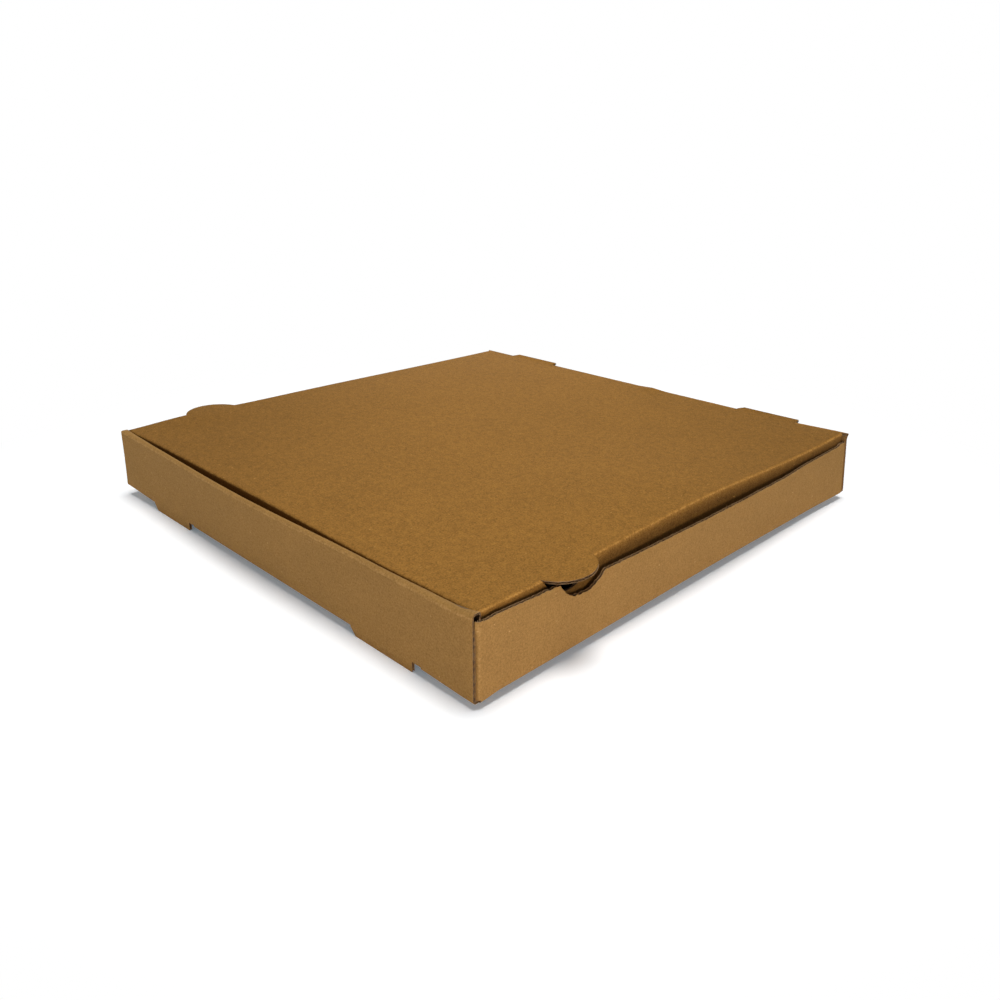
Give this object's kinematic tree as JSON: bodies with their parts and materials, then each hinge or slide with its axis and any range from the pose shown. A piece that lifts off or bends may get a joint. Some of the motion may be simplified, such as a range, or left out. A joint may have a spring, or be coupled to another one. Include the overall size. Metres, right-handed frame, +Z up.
{
  "type": "pizza box",
  "caption": "Square flat box folded from thin kraft corrugated board, with a roll-over front wall, a hinged tuck-in lid, round thumb tabs and small feet.",
  "frame": {"origin": "centre of the base panel's underside", "axes": "+X to the box's right side wall, +Y to the rear crease that the lid turns on, +Z up"},
  "size_m": [0.3456, 0.3342, 0.0433],
  "materials": {
    "tray_kraft": "unbleached kraft liner, matt, speckled with fibres, grey-brown on the cut edges",
    "lid_kraft": "unbleached kraft liner, matt, speckled with fibres, slightly glazed on the folds"
  },
  "bodies": {
    "tray": {"tray": "tray_kraft"},
    "lid": {"lid": "lid_kraft"}
  },
  "joints": [
    {"name": "lid_hinge", "type": "hinge", "parent": "tray", "child": "lid", "pos_m": [0, 0.165, 0.0395], "axis": [-1, 0, 0], "range_deg": [0, 180]}
  ]
}
